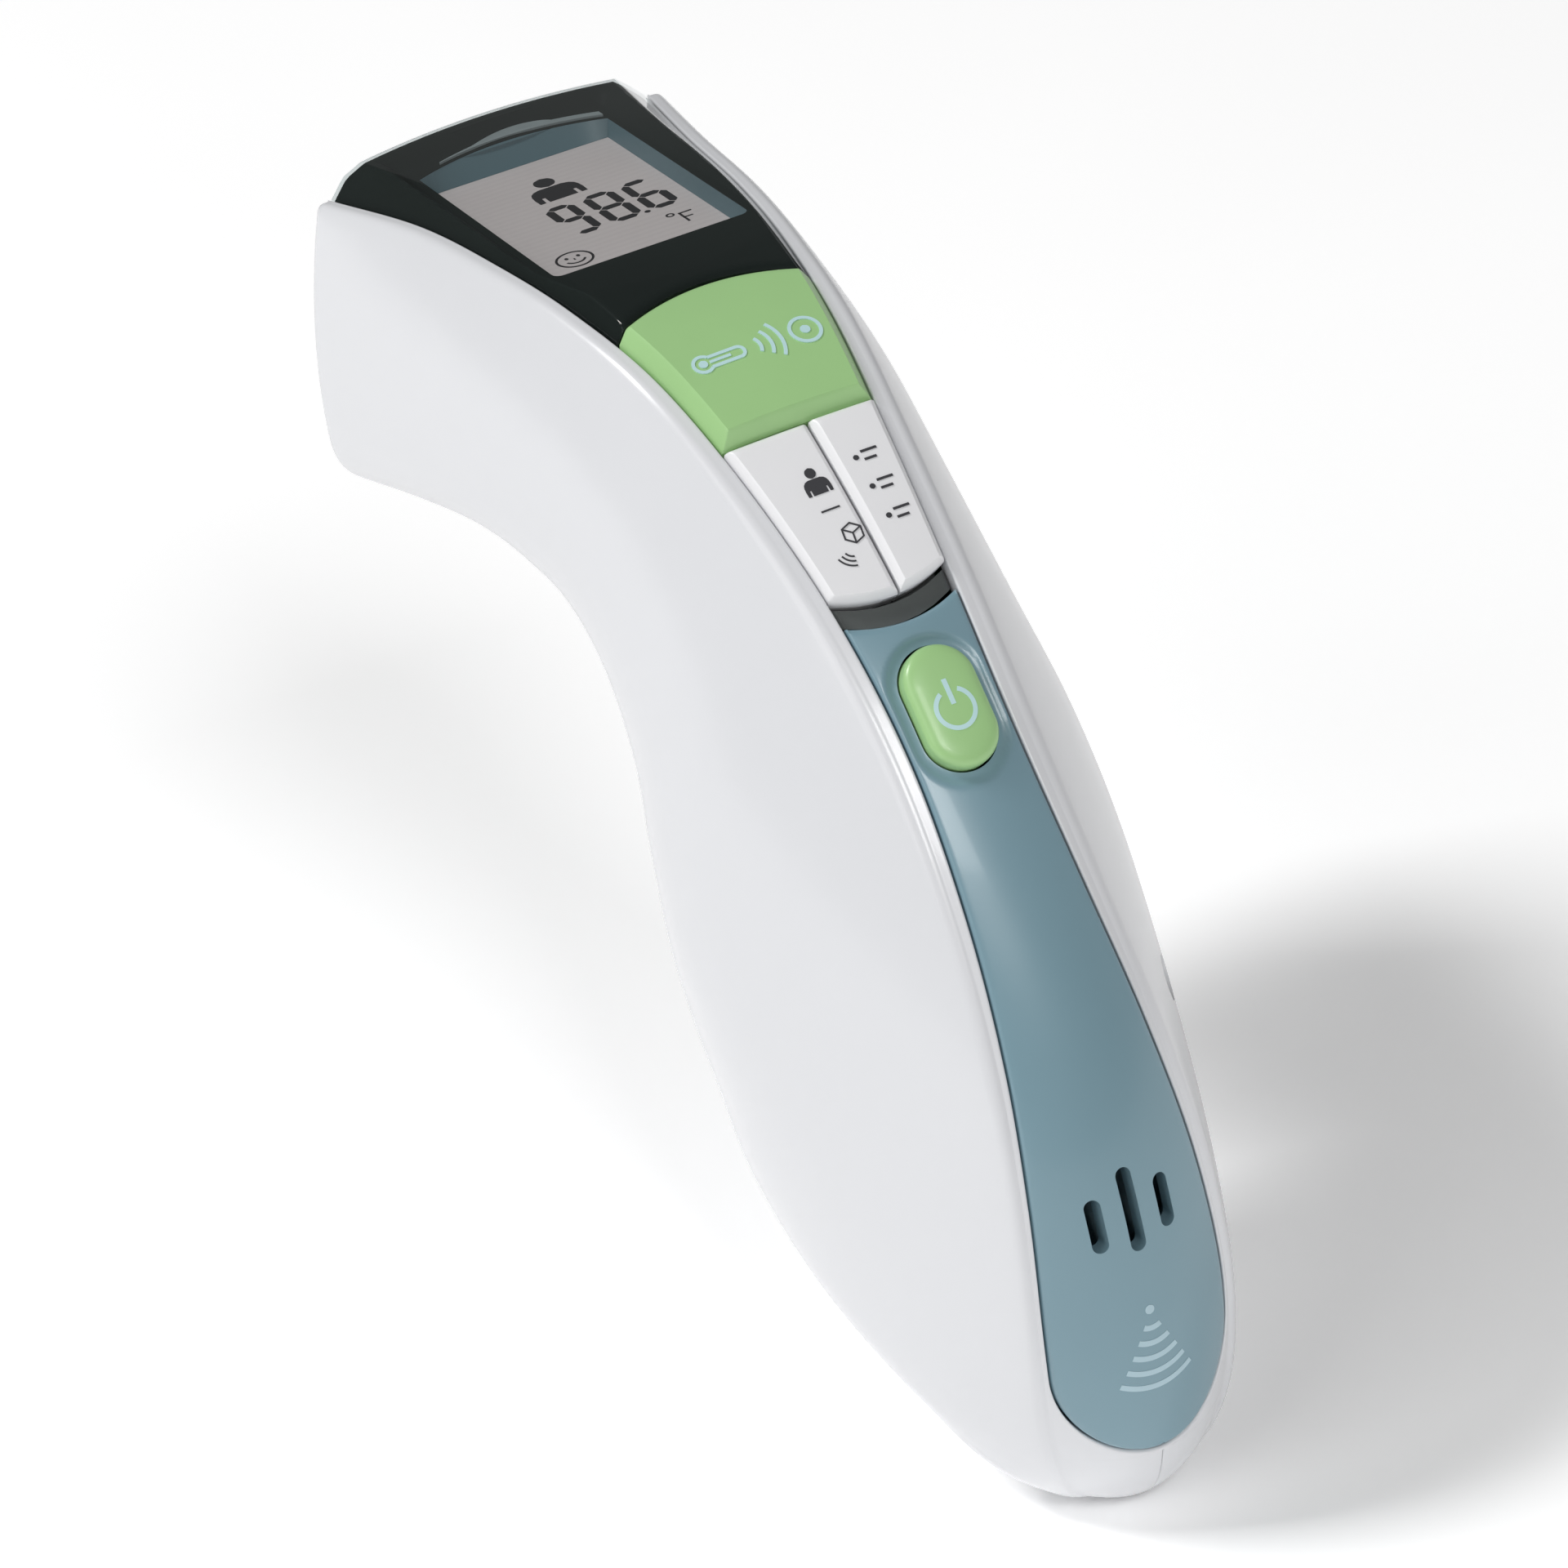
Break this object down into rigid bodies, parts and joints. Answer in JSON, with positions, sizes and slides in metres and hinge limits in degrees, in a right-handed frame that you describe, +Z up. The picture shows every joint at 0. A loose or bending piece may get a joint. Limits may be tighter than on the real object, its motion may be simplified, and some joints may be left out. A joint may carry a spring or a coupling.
{
  "type": "infrared thermometer",
  "caption": "Curved hand-held infrared thermometer with a display head, a sensor mouth, four press keys on a front strip and a hinged battery door.",
  "frame": {"origin": "centre of the sensor mouth ring's front face, on the body's mid-plane", "axes": "+Y out of the sensor mouth along its bore axis, +Z up with the display facing up, +X to the right of a user facing the display; the mid-plane of the body is X = 0"},
  "size_m": [0.044, 0.1109, 0.1056],
  "materials": {
    "shell_white": "smooth satin-gloss white ABS",
    "panel_teal": "smooth satin grey-teal ABS",
    "key_green": "satin pale green keycap",
    "key_white": "satin white keycap",
    "lens_smoke": "glossy smoked clear plastic lens",
    "lcd": "grey liquid crystal glass",
    "light_guide": "white light guide",
    "dark_plastic": "dark grey moulded plastic",
    "board_green": "green solder mask over glass fibre board",
    "black_chip": "black epoxy package",
    "part_tan": "small surface-mount parts",
    "steel": "bright plated steel",
    "gold_flex": "amber flexible ribbon",
    "cell_sleeve": "printed shrink sleeve",
    "chrome": "bright metal reflector",
    "filter_glass": "dark infrared filter",
    "foam": "closed-cell foam",
    "wire_red_black": "insulated wire"
  },
  "bodies": {
    "body": {"left_shell": "shell_white", "right_shell": "shell_white", "front_panel": "panel_teal", "display_lens": "lens_smoke", "lens_frame": "panel_teal", "lcd_glass": "lcd", "lcd_reflector": "light_guide", "display_board": "board_green", "key_frame": "dark_plastic", "main_board": "board_green", "tact_switches": "dark_plastic", "processor_chip": "black_chip", "board_parts": "part_tan", "board_screws": "steel", "display_ribbon": "gold_flex", "cell_left": "cell_sleeve", "cell_right": "cell_sleeve", "battery_tray": "dark_plastic", "positive_plates": "steel", "negative_springs": "steel", "nose_bezel": "panel_teal", "reflector_cone": "chrome", "sensor_barrel": "dark_plastic", "sensor_window": "filter_glass", "thermopile": "steel", "sensor_board": "board_green", "sensor_ribbon": "gold_flex", "speaker_gasket": "foam", "speaker_frame": "dark_plastic", "speaker_cone": "foam", "speaker_magnet": "steel", "shell_screws": "steel", "battery_wires": "wire_red_black", "speaker_wires": "wire_red_black"},
    "measure_button": {"measure_key": "key_green", "measure_stem": "dark_plastic"},
    "mode_button": {"mode_key": "key_white", "mode_stem": "dark_plastic"},
    "memory_button": {"memory_key": "key_white", "memory_stem": "dark_plastic"},
    "power_button": {"power_key": "key_green", "power_stem": "dark_plastic"},
    "door": {"battery_door": "shell_white"}
  },
  "joints": [
    {"name": "measure_press", "type": "slide", "parent": "body", "child": "measure_button", "axis": [0, 0.414, -0.9103], "range_m": [0, 0.0004], "stiffness_N_per_m": 1500},
    {"name": "mode_press", "type": "slide", "parent": "body", "child": "mode_button", "axis": [0, 0.5918, -0.8061], "range_m": [0, 0.0004], "stiffness_N_per_m": 1500},
    {"name": "memory_press", "type": "slide", "parent": "body", "child": "memory_button", "axis": [0, 0.5918, -0.8061], "range_m": [0, 0.0004], "stiffness_N_per_m": 1500},
    {"name": "power_press", "type": "slide", "parent": "body", "child": "power_button", "axis": [0, 0.7719, -0.6357], "range_m": [0, 0.0004], "stiffness_N_per_m": 1500},
    {"name": "door_hinge", "type": "hinge", "parent": "body", "child": "door", "pos_m": [0, -0.05185, -0.03821], "axis": [1, 0, 0], "range_deg": [0, 60]}
  ]
}
